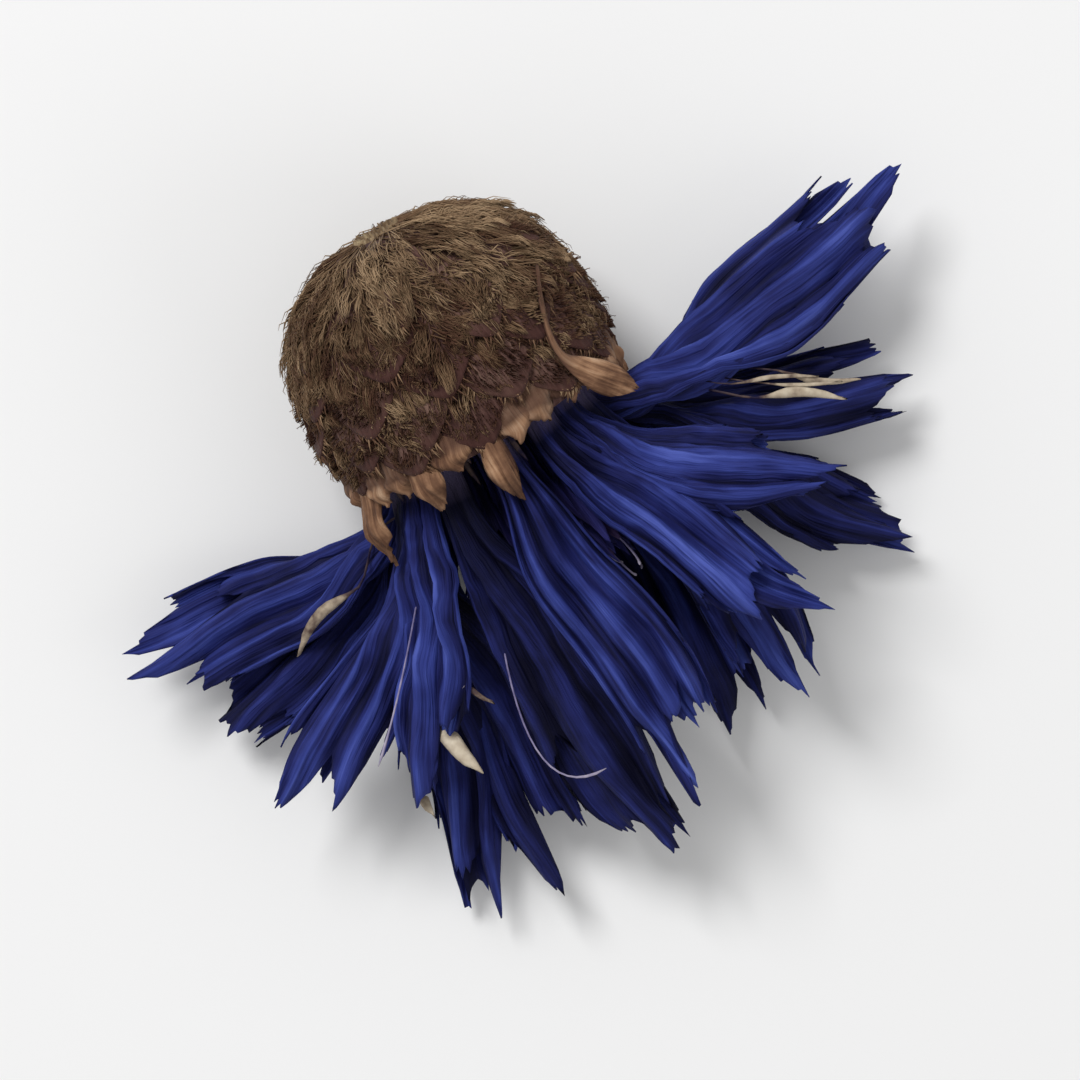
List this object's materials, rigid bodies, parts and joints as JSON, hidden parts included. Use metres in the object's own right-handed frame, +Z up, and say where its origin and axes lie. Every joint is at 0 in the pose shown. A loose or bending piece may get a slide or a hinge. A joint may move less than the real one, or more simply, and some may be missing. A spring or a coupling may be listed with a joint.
{
  "type": "cornflower",
  "caption": "Dried cornflower head lying on its side: a woolly cup of fringed bracts with a fan of pleated royal blue ray florets and dark violet disc florets.",
  "frame": {"origin": "middle of the plan's bounding rectangle, on the surface that the head lies on", "axes": "+Z up from the surface, +Y towards the stem's end of the head, -Y the way the florets point, +X across the fan of florets"},
  "size_m": [0.0284, 0.0208, 0.0098],
  "materials": {
    "bracts": "matte",
    "ray_petals": "matte",
    "disc_petals": "matte"
  },
  "bodies": {
    "root": {"involucre": "bracts", "ray_florets": "ray_petals", "disc_florets": "disc_petals"}
  },
  "joints": []
}
